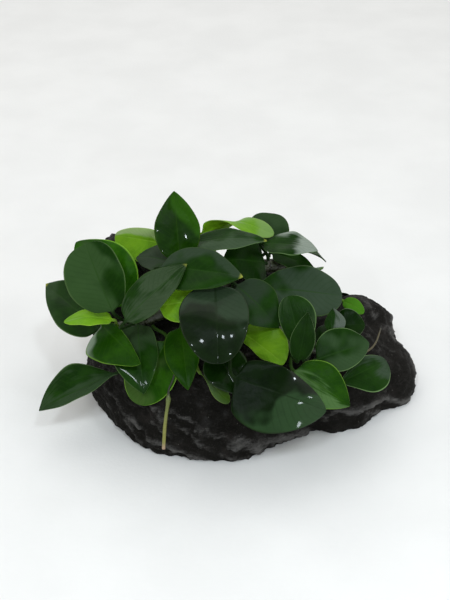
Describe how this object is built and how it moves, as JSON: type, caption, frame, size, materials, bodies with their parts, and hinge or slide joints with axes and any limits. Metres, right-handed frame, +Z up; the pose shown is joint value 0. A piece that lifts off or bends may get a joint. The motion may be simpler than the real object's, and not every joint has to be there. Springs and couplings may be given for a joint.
{
  "type": "anubias on stone",
  "caption": "Dwarf anubias with broad glossy leaves, its creeping stem and roots grown over a dark rugged stone that stands on its flat underside.",
  "frame": {"origin": "middle of the stone's flat underside, which rests on a level surface", "axes": "+X to the right along the stone's length, +Y away from the viewer, +Z up"},
  "size_m": [0.196, 0.1435, 0.115],
  "materials": {
    "leaf_dark": "glossy wet dark green",
    "leaf_mid": "glossy wet green",
    "leaf_lime": "glossy yellow-green, young",
    "stem": "ringed, brown-green",
    "root": "thin, yellow-brown",
    "stone": "rough, layered, near-black"
  },
  "bodies": {
    "root": {"stone": "stone", "rhizome_main": "stem", "rhizome_branch": "stem", "root_hanging": "root", "root_right": "root", "root_back": "root", "root_side": "root", "leaf_01": "leaf_mid", "leaf_02": "leaf_lime", "leaf_03": "leaf_dark", "leaf_04": "leaf_mid", "leaf_05": "leaf_dark", "leaf_06": "leaf_lime", "leaf_07": "leaf_mid", "leaf_08": "leaf_dark", "leaf_09": "leaf_dark", "leaf_10": "leaf_dark", "leaf_11": "leaf_dark", "leaf_12": "leaf_dark", "leaf_13": "leaf_lime", "leaf_14": "leaf_dark", "leaf_15": "leaf_lime", "leaf_16": "leaf_dark", "leaf_17": "leaf_mid", "leaf_18": "leaf_dark", "leaf_19": "leaf_dark", "leaf_20": "leaf_dark", "leaf_21": "leaf_dark", "leaf_22": "leaf_lime", "leaf_23": "leaf_dark", "leaf_24": "leaf_dark", "leaf_25": "leaf_dark", "leaf_26": "leaf_lime", "leaf_27": "leaf_dark", "leaf_28": "leaf_dark", "leaf_29": "leaf_dark", "leaf_30": "leaf_dark", "leaf_31": "leaf_dark", "leaf_32": "leaf_dark", "leaf_33": "leaf_dark", "leaf_34": "leaf_mid", "leaf_35": "leaf_mid", "leaf_36": "leaf_lime", "leaf_37": "leaf_dark", "leaf_38": "leaf_dark", "leaf_39": "leaf_dark", "leaf_40": "leaf_dark", "leaf_41": "leaf_dark", "leaf_42": "leaf_mid", "leaf_43": "leaf_dark", "leaf_44": "leaf_mid", "leaf_45": "leaf_dark"}
  },
  "joints": []
}
